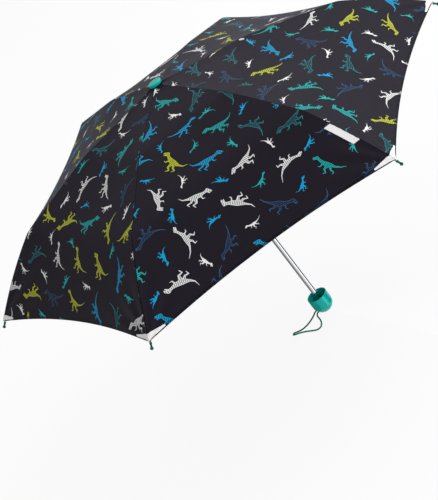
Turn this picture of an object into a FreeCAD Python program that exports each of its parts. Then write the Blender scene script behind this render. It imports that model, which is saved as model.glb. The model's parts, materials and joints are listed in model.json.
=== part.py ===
"""Children's folding umbrella: six three-part ribs, a three-section shaft and a cup handle.

Millimetres, +Z up the shaft, origin on the shaft's axis under the handle. The umbrella is
open and its shaft is drawn out. Rib 0 lies over +X and the others follow every 60 degrees.
"""
import FreeCAD, Part
import math
import os

V = FreeCAD.Vector

# Driving dimensions
RIBS = 6
OPEN_RADIUS = 460.0          # shaft axis to the ball on a rib's tip
TIP_Z = 349.0                # height of those balls
CROWN_Z = 531.0              # rib pivots in the crown
PIVOT_R = 10.0               # rib and stretcher pivots from the shaft's axis
INNER_LENGTH = 160.0
INNER_SLOPE = -9.0           # degrees, open
MIDDLE_LENGTH = 160.0
MIDDLE_SLOPE = -17.0
OUTER_TURN = 12.0            # how far the outer rib's line bends from knee to tip
STRETCHER_AT = 70.0          # stretcher pivot, from the crown along the inner rib
STRETCHER_LENGTH = 80.0

# Ribs lie side by side, so that they fold past each other: y is across a rib's own plane
LINK_HEIGHT = 2.6
WEB = 0.5                    # top wall of a rib's channel
CHEEK = 0.4                  # side wall of a rib's channel
MAIN_PLANE = (-1.0, 1.0)     # inner and outer ribs
MIDDLE_PLANE = (1.3, 3.1)
STRETCHER_PLANE = (-3.1, -1.3)
EYE_R = 1.6
HOLE_R = 0.75
RIVET_R = 0.7
RIVET_HEAD_R = 1.4
RIVET_HEAD = 0.35
PLAY = 0.1                   # between flat parts that turn on one rivet
CLOSED_END = 5.0             # of a rib's channel, beside an eye
CLOSED_MIDDLE = 4.0          # beside the stretcher's rivet
NECK = 3.0                   # trims an inner rib behind its crown eye
THROUGH = 1.0                # how far a cutter runs past what it cuts

# Tie wire from the stretcher's lug to the middle rib's lug
TIE_R = 0.4
TIE_Y = -3.9
TIE_LUG = 5.26               # lug hole from the stretcher's pivot
TIE_LUG_TURN = 75.0          # degrees from the stretcher's own line
TIE_TAIL = 3.36              # lug hole from the middle rib's pivot
TIE_TAIL_TURN = -79.15       # degrees from the middle rib's own line
TIE_HOLE_R = 0.75
TIE_EYE_R = 0.45
TIE_TAIL_END = 0.4

# Shaft
TUBE_WALL = 0.4
UPPER_R, UPPER_Z = 5.8, (347.0, 534.0)
MIDDLE_R, MIDDLE_Z = 5.35, (179.0, 360.0)
LOWER_R, LOWER_Z = 4.9, (4.0, 192.0)
FIT = 0.02                   # between a tube and the part that it is pressed into
NOTCH = (3.0, 4.0, 4.0)      # where the release button catches the upper tube
NOTCH_X = -7.0

# Handle
CUP_R = 19.2
CUP_WALL = 1.8
CUP_HEIGHT = 37.0
RIM_ROUND = 0.7
CORD_EXIT_Z = 9.0
CORD_EXIT_TURN = 15.0        # the two exits, either side of -X
CORD_R = 1.4
CORD_PLAY = 0.3              # round the cord in its holes
CORD_HOLE_FROM = 12.0
HUB_R = 7.0
HUB_Z = (3.5, 13.3)
FLANGE_Z = (11.3, 13.3)
HANDLE_PIN_R = 1.0
HANDLE_PIN_Z = 7.5
PIN_SHORT = 0.4              # each end of the pin below the hub's surface
KNOT_X = -10.3
KNOT_R = 1.8
KNOT_HALF = 3.2

# Crown and ferrule
CROWN_R = 11.8
CROWN_HALF = 2.3
CROWN_SLOT = 2.5
CROWN_SLOT_FROM = 8.2
CROWN_NECK = (3.5, 5.0)      # narrower by this, and this long below the disc
CROWN_BELOW = 12.0           # how far its cutters start below the pivots
WIRE_R = 0.55
CAP_R = 12.0
CAP_Z = 536.3
CAP_HEIGHT = 4.8
CAP_ROUND = 2.2
STUD_R = 5.35
STUD_Z = 526.0

# Runner
RUNNER_BORE = 5.87
RUNNER_R = 8.0
RUNNER_UP = 8.0              # collar above the stretcher pivots
RUNNER_RING_R = 11.8
RUNNER_RING_HALF = 2.4
RUNNER_SLOT = 6.9
GRIP_R = 11.0
GRIP_DROP = (15.0, 22.6)     # grip below the stretcher pivots
BUTTON_TURN = 30.0
BUTTON_DROP = (16.8, 20.8)
BUTTON_HALF_WIDTH = 7.8
BUTTON_FAR, BUTTON_NEAR = -8.6, 11.9
BUTTON_NOSE = 3.2            # half width of the end that is pressed
BUTTON_TRAVEL = 1.0
BUTTON_PLAY = 0.15           # on each side of the button in its slot
BUTTON_INSET = 0.3           # the plate below the grip's surface
GRIP_ROUND = 1.0
PIN_REACH = 2.9              # of a stretcher's pin into the tooth beside it

# Canopy
FABRIC = 0.8
FABRIC_GAP = 3.3             # fabric above the ribs' pivot lines
HEM_R = 451.0                # corners of the canopy
SCALLOP = 10.5               # how far the hem pulls in between two tips
HOLE_AT = (6.2, 535.0)       # the cloth's line over a rib begins here, around the stud
CROWN_LINE = (13.0, 534.3)   # and passes the crown's edge here
HEM_LIFT = 0.6               # a little higher over the curved outer ribs
STUD_CLEARANCE_R = 6.6

# Closure tab
TAB_SHARES = (0.31, 0.625)   # its two ends along the outer rib's line
TAB_LIFT = 6.0
TAB_WIDTH = 11.5
TAB_HALF_THICKNESS = 0.35
TAB_TILT = 20.0              # degrees, to lie on the gore beside the rib

# Rib tips
TIP_BALL_R = 2.8
TIP_SHANK_R = 1.65
TIP_SHANK = 9.0
TIP_COLLAR_R, TIP_COLLAR = 2.1, 2.5
SPIGOT_R = 0.9
SPIGOT = 5.0
SPIGOT_FIT = 0.03
SPIGOT_PLAY = 0.2
OUTER_CLOSED_SHARE = 0.035   # of the outer rib's length, at each end of its channel

# Wrist cord: each arc takes this share of its shorter run
ARC_SHARE = 0.45

# Its route on the surface under the handle, from one exit back to the other
CORD_ROUTE = [
    (-12.9, 3.5, 9.0), (-19.6, 5.2, 8.6), (-26.6, 4.6, 3.4), (-35.5, 0.2, 1.45),
    (-46.5, -6.6, 1.45), (-58.5, -8.4, 1.45), (-67.5, -4.6, 1.45), (-73.6, -1.0, 1.45),
    (-77.2, -4.9, 1.45), (-72.5, -8.4, 1.45), (-64.5, -12.6, 1.45), (-53.0, -22.4, 1.45),
    (-43.0, -33.5, 1.45), (-34.6, -41.6, 1.45), (-26.0, -40.4, 1.45), (-21.6, -29.0, 1.45),
    (-20.6, -17.5, 1.8), (-21.8, -9.0, 6.2), (-18.2, -4.9, 9.0), (-12.9, -3.5, 9.0),
]


def polar(length, degrees):
    """Point of a rib's plane at this distance and rise."""
    turn = math.radians(degrees)
    return V(length * math.cos(turn), 0, length * math.sin(turn))


CROWN_PIVOT = V(PIVOT_R, 0, CROWN_Z)
ELBOW = CROWN_PIVOT + polar(INNER_LENGTH, INNER_SLOPE)
KNEE = ELBOW + polar(MIDDLE_LENGTH, MIDDLE_SLOPE)
TIP = V(OPEN_RADIUS, 0, TIP_Z)
STRETCHER_PIVOT = CROWN_PIVOT + polar(STRETCHER_AT, INNER_SLOPE)
RUNNER_Z = STRETCHER_PIVOT.z - math.sqrt(
    STRETCHER_LENGTH ** 2 - (STRETCHER_PIVOT.x - PIVOT_R) ** 2)
RUNNER_PIVOT = V(PIVOT_R, 0, RUNNER_Z)


def slope(start, end):
    """Rise in degrees from one point of a rib's plane to another."""
    return math.degrees(math.atan2(end.z - start.z, end.x - start.x))


def rod(start, end, radius):
    """Round bar between two points."""
    return Part.makeCylinder(radius, (end - start).Length, start, end - start)


def across(point, radius, low, high):
    """Round bar across a rib's plane, through a point of it."""
    return Part.makeCylinder(radius, high - low, V(point.x, low, point.z), V(0, 1, 0))


def bar(start, end, plane, half=LINK_HEIGHT / 2):
    """Flat bar between two points of a rib's plane."""
    low, high = plane
    length = (end - start).Length
    box = Part.makeBox(length, high - low, 2 * half, V(0, low, -half))
    box.rotate(V(), V(0, -1, 0), slope(start, end))
    box.translate(start)
    return box


def channel(start, end, plane, closed_ends):
    """Flat bar with its underside pressed out to a channel, away from its closed ends."""
    low, high = plane
    along = (end - start).normalize()
    solid = bar(start, end, plane)
    hollow = bar(start + along * closed_ends[0], end - along * closed_ends[1],
                 (low + CHEEK, high - CHEEK))
    hollow.translate(V(along.z, 0, -along.x) * WEB)
    return solid.cut(hollow)


def eye(solid, point, plane, hole=HOLE_R):
    """The solid with a round eye at one of its pivots."""
    low, high = plane
    rim = across(point, EYE_R, low, high)
    return solid.fuse(rim).cut(across(point, hole, low - THROUGH, high + THROUGH))


def around(shape, rib):
    """Copy of a shape made over +X, turned to this rib."""
    copy = shape.copy()
    copy.rotate(V(), V(0, 0, 1), 360.0 / RIBS * rib)
    return copy


def tube(radius, span, wall=TUBE_WALL):
    """Tube on the shaft's axis."""
    low, high = span
    outer = Part.makeCylinder(radius, high - low, V(0, 0, low))
    return outer.cut(Part.makeCylinder(radius - wall, high - low, V(0, 0, low)))


def revolve(points):
    """Solid of revolution about the shaft from a closed outline of (radius, height) points."""
    wire = Part.makePolygon([V(r, 0, z) for r, z in points + points[:1]])
    return Part.Face(wire).revolve(V(), V(0, 0, 1), 360)


# Ribs

def inner_rib():
    """Channel from the crown to the elbow, with the stretcher's hole on its way."""
    along = polar(1, INNER_SLOPE)
    near = channel(CROWN_PIVOT, STRETCHER_PIVOT, MAIN_PLANE, (CLOSED_END, CLOSED_MIDDLE))
    far = channel(STRETCHER_PIVOT, ELBOW, MAIN_PLANE, (CLOSED_MIDDLE, CLOSED_END))
    low, high = MAIN_PLANE[0] - THROUGH, MAIN_PLANE[1] + THROUGH
    solid = near.fuse(far).cut(across(CROWN_PIVOT - along * NECK, EYE_R + 1, low, high))
    solid = eye(solid, CROWN_PIVOT, MAIN_PLANE)
    solid = eye(solid, ELBOW, MAIN_PLANE)
    return solid.cut(across(STRETCHER_PIVOT, HOLE_R, low, high)).removeSplitter()


def rib_rivets():
    """The stretcher's rivet and the elbow's rivet, both held by the inner rib."""
    main_low, main_high = MAIN_PLANE
    reach = STRETCHER_PLANE[0] - PLAY
    stretcher_rivet = across(STRETCHER_PIVOT, RIVET_R, reach, main_high + PLAY).fuse(
        across(STRETCHER_PIVOT, RIVET_HEAD_R, reach - RIVET_HEAD, reach))
    low, high = main_low - PLAY, MIDDLE_PLANE[1] + PLAY
    elbow_rivet = across(ELBOW, RIVET_R, low, high)
    elbow_rivet = elbow_rivet.fuse(across(ELBOW, RIVET_HEAD_R, low - RIVET_HEAD, low))
    elbow_rivet = elbow_rivet.fuse(across(ELBOW, RIVET_HEAD_R, high, high + RIVET_HEAD))
    return Part.makeCompound([stretcher_rivet, elbow_rivet])


def tie_start():
    """Lug hole on the stretcher."""
    turn = slope(STRETCHER_PIVOT, RUNNER_PIVOT) + TIE_LUG_TURN
    return STRETCHER_PIVOT + polar(TIE_LUG, turn)


def tie_end():
    """Lug hole on the middle rib."""
    return ELBOW + polar(TIE_TAIL, MIDDLE_SLOPE + TIE_TAIL_TURN)


def stretcher():
    """Flat link from the runner to the inner rib, with a lug for the tie wire."""
    solid = channel(RUNNER_PIVOT, STRETCHER_PIVOT, STRETCHER_PLANE, (CLOSED_END, CLOSED_END))
    solid = solid.fuse(bar(STRETCHER_PIVOT, tie_start(), STRETCHER_PLANE, EYE_R))
    for point in (RUNNER_PIVOT, STRETCHER_PIVOT, tie_start()):
        solid = solid.fuse(across(point, EYE_R, *STRETCHER_PLANE))
    low, high = STRETCHER_PLANE[0] - THROUGH, STRETCHER_PLANE[1] + THROUGH
    for point, hole in ((RUNNER_PIVOT, HOLE_R), (STRETCHER_PIVOT, HOLE_R), (tie_start(), TIE_EYE_R)):
        solid = solid.cut(across(point, hole, low, high))
    return solid.removeSplitter()


def tie_wire():
    """Wire with two bent ends, which turns the middle rib as the stretcher swings."""
    start, end = V(*tie_start()), V(*tie_end())
    start.y = end.y = TIE_Y
    wire = rod(start, end, TIE_R)
    for point, reach in ((start, STRETCHER_PLANE[1]), (end, MIDDLE_PLANE[1] + TIE_TAIL_END)):
        wire = wire.fuse(across(point, TIE_R, TIE_Y, reach))
        wire = wire.fuse(Part.makeSphere(TIE_R, point))
    return wire.removeSplitter()


def middle_rib():
    """Channel from the elbow to the knee, with a lug for the tie wire."""
    solid = channel(ELBOW, KNEE, MIDDLE_PLANE, (CLOSED_END + 1, CLOSED_END))
    solid = solid.fuse(bar(ELBOW, tie_end(), MIDDLE_PLANE, EYE_R))
    solid = solid.fuse(across(tie_end(), EYE_R, *MIDDLE_PLANE))
    solid = eye(solid, KNEE, MIDDLE_PLANE)
    solid = eye(solid, ELBOW, MIDDLE_PLANE)
    low, high = MIDDLE_PLANE[0] - THROUGH, MIDDLE_PLANE[1] + THROUGH
    return solid.cut(across(tie_end(), TIE_HOLE_R, low, high)).removeSplitter()


def bend_radius():
    """Radius of the outer rib's centre line."""
    return (TIP - KNEE).Length / 2 / math.sin(math.radians(OUTER_TURN / 2))


def outer_point(share, offset=0.0):
    """Point of the outer rib's line, from knee (0) to ball (1), lifted off it by offset."""
    chord = slope(KNEE, TIP)
    centre = KNEE + polar(bend_radius(), chord - 90 + OUTER_TURN / 2)
    return centre + polar(bend_radius() + offset, chord + 90 + OUTER_TURN / 2 - OUTER_TURN * share)


def outer_band(start, end, low, high, plane):
    """Curved flat bar along part of the outer rib's line, between two offsets from it."""
    middle = (start + end) / 2
    top = [outer_point(share, high) for share in (start, middle, end)]
    bottom = [outer_point(share, low) for share in (end, middle, start)]
    edges = [Part.Arc(*top).toShape(), Part.LineSegment(top[-1], bottom[0]).toShape(),
             Part.Arc(*bottom).toShape(), Part.LineSegment(bottom[-1], top[0]).toShape()]
    face = Part.Face(Part.Wire(edges))
    face.translate(V(0, plane[0], 0))
    return face.extrude(V(0, plane[1] - plane[0], 0))


def tip_joint_share():
    """Where along the outer rib its tip begins."""
    return 1 - TIP_SHANK / (bend_radius() * math.radians(OUTER_TURN))


def outer_rib():
    """Curved channel from the knee to the tip, with a stud that turns in the middle rib."""
    half = LINK_HEIGHT / 2
    end = tip_joint_share()
    solid = outer_band(0, end, -half, half, MAIN_PLANE)
    hollow = outer_band(OUTER_CLOSED_SHARE, end - OUTER_CLOSED_SHARE, -half - THROUGH, half - WEB,
                        (MAIN_PLANE[0] + CHEEK, MAIN_PLANE[1] - CHEEK))
    solid = solid.cut(hollow).fuse(across(KNEE, EYE_R, *MAIN_PLANE))
    outside = MIDDLE_PLANE[1] + PLAY
    solid = solid.fuse(across(KNEE, RIVET_R, 0, outside + RIVET_HEAD))
    solid = solid.fuse(across(KNEE, RIVET_HEAD_R, outside, outside + RIVET_HEAD))
    root = outer_point(end)
    return solid.fuse(rod(root, root + tip_direction() * SPIGOT, SPIGOT_R)).removeSplitter()


def tip_direction():
    """Direction in which the outer rib ends."""
    return (outer_point(1) - outer_point(tip_joint_share())).normalize()


def rib_tip():
    """Ball on a short shank, with a collar that takes the end of the outer rib."""
    root = outer_point(tip_joint_share())
    solid = rod(root, TIP, TIP_SHANK_R).fuse(Part.makeSphere(TIP_BALL_R, TIP))
    solid = solid.fuse(rod(root, root + tip_direction() * TIP_COLLAR, TIP_COLLAR_R))
    start, end = root - tip_direction(), root + tip_direction() * (SPIGOT + SPIGOT_PLAY)
    return solid.cut(rod(start, end, SPIGOT_R + SPIGOT_FIT))


# Shaft and handle

def upper_tube():
    """Top section, with the notch that the release button reaches."""
    middle = RUNNER_Z - sum(BUTTON_DROP) / 2
    notch = Part.makeBox(*NOTCH, V(NOTCH_X, -NOTCH[1] / 2, middle - NOTCH[2] / 2))
    notch.rotate(V(), V(0, 0, 1), BUTTON_TURN)
    return tube(UPPER_R, UPPER_Z).cut(notch)


def lower_tube():
    """Bottom section, drilled for the handle's pin."""
    radius = HANDLE_PIN_R + SPIGOT_FIT
    hole = Part.makeCylinder(radius, 2 * HUB_R, V(0, -HUB_R, HANDLE_PIN_Z), V(0, 1, 0))
    return tube(LOWER_R, LOWER_Z).cut(hole)


def cup_outline(radius, top):
    """Half outline of a cup: a quarter round base, then a straight wall up to top."""
    corner = radius * math.sin(math.radians(45))
    base_z = CUP_R - radius
    arc = Part.Arc(V(0, 0, base_z), V(corner, 0, CUP_R - corner), V(radius, 0, CUP_R))
    lines = [(radius, CUP_R), (radius, top), (0, top), (0, base_z)]
    edges = [arc.toShape()]
    for first, second in zip(lines, lines[1:]):
        edges.append(Part.LineSegment(V(first[0], 0, first[1]), V(second[0], 0, second[1])).toShape())
    return Part.Face(Part.Wire(edges)).revolve(V(), V(0, 0, 1), 360)


def exit_direction(side):
    """Radial direction of one of the cord's two exits."""
    turn = math.radians(180 - side * CORD_EXIT_TURN)
    return V(math.cos(turn), math.sin(turn), 0)


def handle_cup():
    """Round cup with a rolled rim and two cord holes low on one side."""
    solid = cup_outline(CUP_R, CUP_HEIGHT)
    solid = solid.cut(cup_outline(CUP_R - CUP_WALL, CUP_HEIGHT + THROUGH))
    rim = [edge for edge in solid.Edges if abs(edge.BoundBox.ZMin - CUP_HEIGHT) < 1e-6
           and abs(edge.BoundBox.ZMax - CUP_HEIGHT) < 1e-6]
    solid = solid.makeFillet(RIM_ROUND, rim)
    for side in (1, -1):
        start = exit_direction(side) * CORD_HOLE_FROM + V(0, 0, CORD_EXIT_Z)
        radius, length = CORD_R + CORD_PLAY, CUP_R - CORD_HOLE_FROM + THROUGH
        solid = solid.cut(Part.makeCylinder(radius, length, start, exit_direction(side)))
    return solid


def handle_bush():
    """Hub that holds the lower tube, and the flange that closes the cup's base."""
    low, high = FLANGE_Z
    flange = Part.makeCylinder(CUP_R, high - low, V(0, 0, low))
    flange = flange.common(cup_outline(CUP_R - CUP_WALL - PLAY / 2, CUP_HEIGHT))
    solid = Part.makeCylinder(HUB_R, HUB_Z[1] - HUB_Z[0], V(0, 0, HUB_Z[0])).fuse(flange)
    solid = solid.cut(Part.makeCylinder(LOWER_R + FIT, CUP_R, V(0, 0, LOWER_Z[0])))
    start = V(0, -CUP_R, HANDLE_PIN_Z)
    return solid.cut(Part.makeCylinder(HANDLE_PIN_R, 2 * CUP_R, start, V(0, 1, 0)))


def handle_pin():
    """Cross pin through the hub and the lower tube."""
    half = HUB_R - PIN_SHORT
    return Part.makeCylinder(HANDLE_PIN_R - FIT, 2 * half, V(0, -half, HANDLE_PIN_Z), V(0, 1, 0))


def strap_knot():
    """Knot inside the cup that keeps both ends of the cord."""
    start = V(KNOT_X, -KNOT_HALF, CORD_EXIT_Z)
    solid = Part.makeCylinder(KNOT_R, 2 * KNOT_HALF, start, V(0, 1, 0))
    for side in (1, -1):
        solid = solid.fuse(Part.makeSphere(KNOT_R, V(KNOT_X, side * KNOT_HALF, CORD_EXIT_Z)))
    return solid.removeSplitter()


# Crown

def crown():
    """Notched disc on top of the shaft, with a groove for the wire that the ribs turn on."""
    solid = Part.makeCylinder(CROWN_R, 2 * CROWN_HALF, V(0, 0, CROWN_Z - CROWN_HALF))
    thinner, neck = CROWN_NECK
    base, tall = CROWN_Z - CROWN_BELOW, 2 * CROWN_BELOW
    solid = solid.fuse(Part.makeCylinder(CROWN_R - thinner, neck, V(0, 0, CROWN_Z - CROWN_HALF - neck)))
    solid = solid.cut(Part.makeCylinder(UPPER_R + FIT, tall, V(0, 0, base)))
    slot = Part.makeBox(CROWN_R, CROWN_SLOT, tall, V(CROWN_SLOT_FROM, -CROWN_SLOT / 2, base))
    for rib in range(RIBS):
        solid = solid.cut(around(slot, rib))
    half, top = WIRE_R + PLAY, CROWN_Z + CROWN_BELOW
    groove = revolve([(PIVOT_R - half, CROWN_Z - half), (PIVOT_R + half, CROWN_Z - half),
                      (PIVOT_R + half, top), (PIVOT_R - half, top)])
    return solid.cut(groove)


def crown_wire():
    """Wire ring through the eyes of the six inner ribs."""
    return Part.makeTorus(PIVOT_R, WIRE_R, V(0, 0, CROWN_Z))


def ferrule_cap():
    """Round cap over the canopy, with a stud pressed into the top of the shaft."""
    top = CAP_Z + CAP_HEIGHT
    solid = Part.makeCylinder(CAP_R, CAP_HEIGHT, V(0, 0, CAP_Z))
    crest = [edge for edge in solid.Edges if abs(edge.BoundBox.ZMin - top) < 1e-6]
    solid = solid.makeFillet(CAP_ROUND, crest)
    return solid.fuse(Part.makeCylinder(STUD_R, CAP_Z - STUD_Z, V(0, 0, STUD_Z)))


# Runner

def runner():
    """Sliding collar: a ring notched for the stretchers, and a grip with the button's slot."""
    base = RUNNER_Z - GRIP_DROP[1]
    solid = Part.makeCylinder(RUNNER_R, GRIP_DROP[1] + RUNNER_UP, V(0, 0, base))
    ring = Part.makeCylinder(RUNNER_RING_R, 2 * RUNNER_RING_HALF, V(0, 0, RUNNER_Z - RUNNER_RING_HALF))
    depth = 4 * RUNNER_RING_HALF
    slot = Part.makeBox(RUNNER_RING_R, RUNNER_SLOT, depth,
                        V(RUNNER_R, -RUNNER_SLOT / 2, RUNNER_Z - depth / 2))
    for rib in range(RIBS):
        ring = ring.cut(around(slot, rib))
    for pin in pin_places():
        ring = ring.cut(pin)
    grip = Part.makeCylinder(GRIP_R, GRIP_DROP[1] - GRIP_DROP[0], V(0, 0, base))
    edges = [edge for edge in grip.Edges if edge.Closed]
    grip = grip.makeFillet(GRIP_ROUND, edges)
    bore = Part.makeCylinder(RUNNER_BORE, 2 * GRIP_DROP[1], V(0, 0, base))
    solid = solid.fuse([ring, grip]).cut(bore)
    drop = sum(BUTTON_DROP) / 2
    half = (BUTTON_DROP[1] - BUTTON_DROP[0]) / 2 + BUTTON_PLAY
    side = BUTTON_HALF_WIDTH + BUTTON_PLAY
    reach = BUTTON_FAR - BUTTON_TRAVEL - 3 * BUTTON_PLAY
    pocket = Part.makeBox(3 * GRIP_R, 2 * side, 2 * half, V(reach, -side, RUNNER_Z - drop - half))
    pocket.rotate(V(), V(0, 0, 1), BUTTON_TURN)
    return solid.cut(pocket).removeSplitter()


def pin_places():
    """The six pins that the stretchers turn on, each held by the tooth beside its slot."""
    low, high = STRETCHER_PLANE
    pin = across(RUNNER_PIVOT, RIVET_R, low - PIN_REACH, high + PLAY)
    return [around(pin, rib) for rib in range(RIBS)]


def release_button():
    """Plate around the shaft, in the runner's slot, with a rounded end to press."""
    low = RUNNER_Z - BUTTON_DROP[1]
    height = BUTTON_DROP[1] - BUTTON_DROP[0]
    plate = Part.makeBox(BUTTON_NEAR - BUTTON_FAR, 2 * BUTTON_HALF_WIDTH, height,
                         V(BUTTON_FAR, -BUTTON_HALF_WIDTH, low))
    nose = Part.makeBox(BUTTON_NEAR, 2 * BUTTON_NOSE, height, V(0, -BUTTON_NOSE, low))
    nose = nose.common(Part.makeCylinder(BUTTON_NEAR, height, V(0, 0, low)))
    plate = plate.common(Part.makeCylinder(GRIP_R - BUTTON_INSET, height, V(0, 0, low))).fuse(nose)
    reach = RUNNER_BORE + PLAY
    base, tall = low - THROUGH, height + 2 * THROUGH
    window = Part.makeCylinder(reach, tall, V(0, 0, base))
    window = window.fuse(Part.makeCylinder(reach, tall, V(BUTTON_TRAVEL, 0, base)))
    window = window.fuse(Part.makeBox(BUTTON_TRAVEL, 2 * reach, tall, V(0, -reach, base)))
    plate = plate.cut(window)
    plate.rotate(V(), V(0, 0, 1), BUTTON_TURN)
    return plate.removeSplitter()


# Canopy

def fabric_line(lift):
    """Canopy's line over a rib, as (radius, height) points at this height above the ribs."""
    line = [(radius, height + lift) for radius, height in (HOLE_AT, CROWN_LINE)]
    for start, end, shares in ((CROWN_PIVOT, ELBOW, (0.25, 1.0)), (ELBOW, KNEE, (0.5, 1.0))):
        for share in shares:
            point = start + (end - start) * share
            line.append((point.x, point.z + FABRIC_GAP + lift))
    end = (HEM_R - KNEE.x) / (TIP.x - KNEE.x)
    for share in (0.25, 0.5, 0.75, 1.0):
        point = outer_point(share * end)
        line.append((point.x, point.z + FABRIC_GAP + HEM_LIFT + lift))
    return line


def tent(line, base_z):
    """Six-sided solid under a line that all the ribs share."""
    rings = [[around(Part.Vertex(V(r, 0, z)), rib).Point for rib in range(RIBS)] for r, z in line]
    rings.append([V(p.x, p.y, base_z) for p in rings[-1]])
    faces = [Part.Face(Part.makePolygon(ring + ring[:1])) for ring in (rings[0], rings[-1])]
    for upper, lower in zip(rings, rings[1:]):
        for rib in range(RIBS):
            after = (rib + 1) % RIBS
            corners = [upper[rib], upper[after], lower[after], lower[rib]]
            faces.append(Part.Face(Part.makePolygon(corners + corners[:1])))
    return Part.Solid(Part.Shell(faces))


def canopy():
    """Taut six-gore fabric shell with a scalloped hem and a hole for the ferrule's stud."""
    corner_z = fabric_line(0)[-1][1]
    base_z = corner_z - OPEN_RADIUS
    shell = tent(fabric_line(FABRIC), base_z).cut(tent(fabric_line(0), base_z - THROUGH))
    wide, low = 2 * OPEN_RADIUS, V(-OPEN_RADIUS, -OPEN_RADIUS, corner_z)
    shell = shell.common(Part.makeBox(wide, wide, CROWN_Z, low))
    half_chord = HEM_R * math.sin(math.radians(180 / RIBS))
    reach = HEM_R * math.cos(math.radians(180 / RIBS))
    bow = (half_chord ** 2 + SCALLOP ** 2) / (2 * SCALLOP)
    cutter = Part.makeCylinder(bow, CROWN_Z, V(reach - SCALLOP + bow, 0, corner_z - THROUGH))
    cutter.rotate(V(), V(0, 0, 1), 180 / RIBS)
    for rib in range(RIBS):
        shell = shell.cut(around(cutter, rib))
    return shell.cut(Part.makeCylinder(STUD_CLEARANCE_R, CROWN_Z, V(0, 0, corner_z)))


def closure_tab():
    """Bare woven tab sewn into the seam over rib 5, lying on the cloth towards rib 4."""
    start, end = (outer_point(share, TAB_LIFT) for share in TAB_SHARES)
    tab = bar(start, end, (-TAB_WIDTH, 0), TAB_HALF_THICKNESS)
    tab.rotate(start, end - start, TAB_TILT)
    return around(tab, 5)


# Wrist cord

def cord_radius(before, point, after):
    """Radius of the arc that rounds one point of the cord's route, and its tangent length."""
    first, second = before - point, after - point
    turn = math.pi - first.getAngle(second)
    shorter = min(first.Length, second.Length)
    return ARC_SHARE * shorter / math.tan(turn / 2), ARC_SHARE * shorter


def strap_cord():
    """Round cord: straight runs joined by tangent arcs."""
    points = [V(*point) for point in CORD_ROUTE]
    edges, radii, last = [], [], points[0]
    for before, point, after in zip(points, points[1:], points[2:]):
        radius, tangent = cord_radius(before, point, after)
        radii.append(round(radius, 1))
        start = point + (before - point).normalize() * tangent
        end = point + (after - point).normalize() * tangent
        to_middle = ((start + end) / 2 - point).normalize()
        half_turn = (math.pi - (before - point).getAngle(after - point)) / 2
        middle = point + to_middle * (radius / math.cos(half_turn) - radius)
        edges.append(Part.LineSegment(last, start).toShape())
        edges.append(Part.Arc(start, middle, end).toShape())
        last = end
    edges.append(Part.LineSegment(last, points[-1]).toShape())
    wire = Part.Wire(edges)
    profile = Part.Wire(Part.makeCircle(CORD_R, points[0], points[1] - points[0]))
    solid = wire.makePipeShell([profile], True, False)
    print("cord length", round(wire.Length, 1), "radii", radii)
    print("cord volume", round(solid.Volume, 1), "section x length",
          round(math.pi * CORD_R ** 2 * wire.Length, 1))
    return solid


# Assembly

def all_parts():
    """Every sub-part by its node name."""
    parts = {
        "handle_cup": handle_cup(),
        "handle_bush": handle_bush(),
        "handle_pin": handle_pin(),
        "strap_knot": strap_knot(),
        "strap_cord": strap_cord(),
        "lower_tube": lower_tube(),
        "middle_tube": tube(MIDDLE_R, MIDDLE_Z),
        "upper_tube": upper_tube(),
        "crown": crown(),
        "crown_wire": crown_wire(),
        "ferrule_cap": ferrule_cap(),
        "canopy": canopy(),
        "closure_tab": closure_tab(),
        "runner": runner(),
        "runner_pins": Part.makeCompound(pin_places()),
        "release_button": release_button(),
    }
    rib_parts = {
        "inner_rib": inner_rib(),
        "rib_rivets": rib_rivets(),
        "stretcher": stretcher(),
        "tie_wire": tie_wire(),
        "middle_rib": middle_rib(),
        "outer_rib": outer_rib(),
        "rib_tip": rib_tip(),
    }
    for name, shape in rib_parts.items():
        for rib in range(RIBS):
            parts[f"{name}_{rib}"] = around(shape, rib)
    return parts


def main():
    """Write one STEP file for each sub-part."""
    os.makedirs("parts", exist_ok=True)
    for name, shape in all_parts().items():
        if not shape.isValid():
            print("not valid:", name)
        shape.exportStep(f"parts/{name}.step")
    print("runner pivot height", round(RUNNER_Z, 3))


main()
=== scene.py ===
"""Looks of a children's folding umbrella: printed cloth, sewn corners, wrist cord and finishes."""

import json
import logging
import math
from dataclasses import dataclass, field
from enum import Enum
from typing import Callable, Optional, Union

import bpy
import numpy as np
from mathutils import Matrix, Quaternion, Vector


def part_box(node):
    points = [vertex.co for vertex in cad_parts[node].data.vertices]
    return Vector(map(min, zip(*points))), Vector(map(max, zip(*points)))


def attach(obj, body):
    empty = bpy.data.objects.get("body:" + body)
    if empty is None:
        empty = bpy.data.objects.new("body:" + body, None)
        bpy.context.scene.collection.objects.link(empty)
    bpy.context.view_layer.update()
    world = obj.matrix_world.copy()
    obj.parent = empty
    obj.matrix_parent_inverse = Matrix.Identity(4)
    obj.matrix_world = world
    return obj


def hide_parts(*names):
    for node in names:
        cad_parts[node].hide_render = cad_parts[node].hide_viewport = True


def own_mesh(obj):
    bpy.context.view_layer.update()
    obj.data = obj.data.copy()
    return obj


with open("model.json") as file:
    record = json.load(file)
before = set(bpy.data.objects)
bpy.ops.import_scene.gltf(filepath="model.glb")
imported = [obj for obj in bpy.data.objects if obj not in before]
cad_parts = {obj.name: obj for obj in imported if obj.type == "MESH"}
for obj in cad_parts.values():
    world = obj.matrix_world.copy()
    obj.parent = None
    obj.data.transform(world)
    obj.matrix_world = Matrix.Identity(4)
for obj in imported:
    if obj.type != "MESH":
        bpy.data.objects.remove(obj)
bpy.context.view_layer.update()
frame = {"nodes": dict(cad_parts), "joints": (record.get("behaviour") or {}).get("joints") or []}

log = logging.getLogger("umbrella")
RIBS = 6
STEP = 2 * math.pi / RIBS
HALF_STEP = STEP / 2


def joint_place(name: str) -> Vector:
    """Place of a joint at rest, in metres."""
    return next(Vector(j["pos_m"]) for j in frame["joints"] if j["name"] == name)


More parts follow.
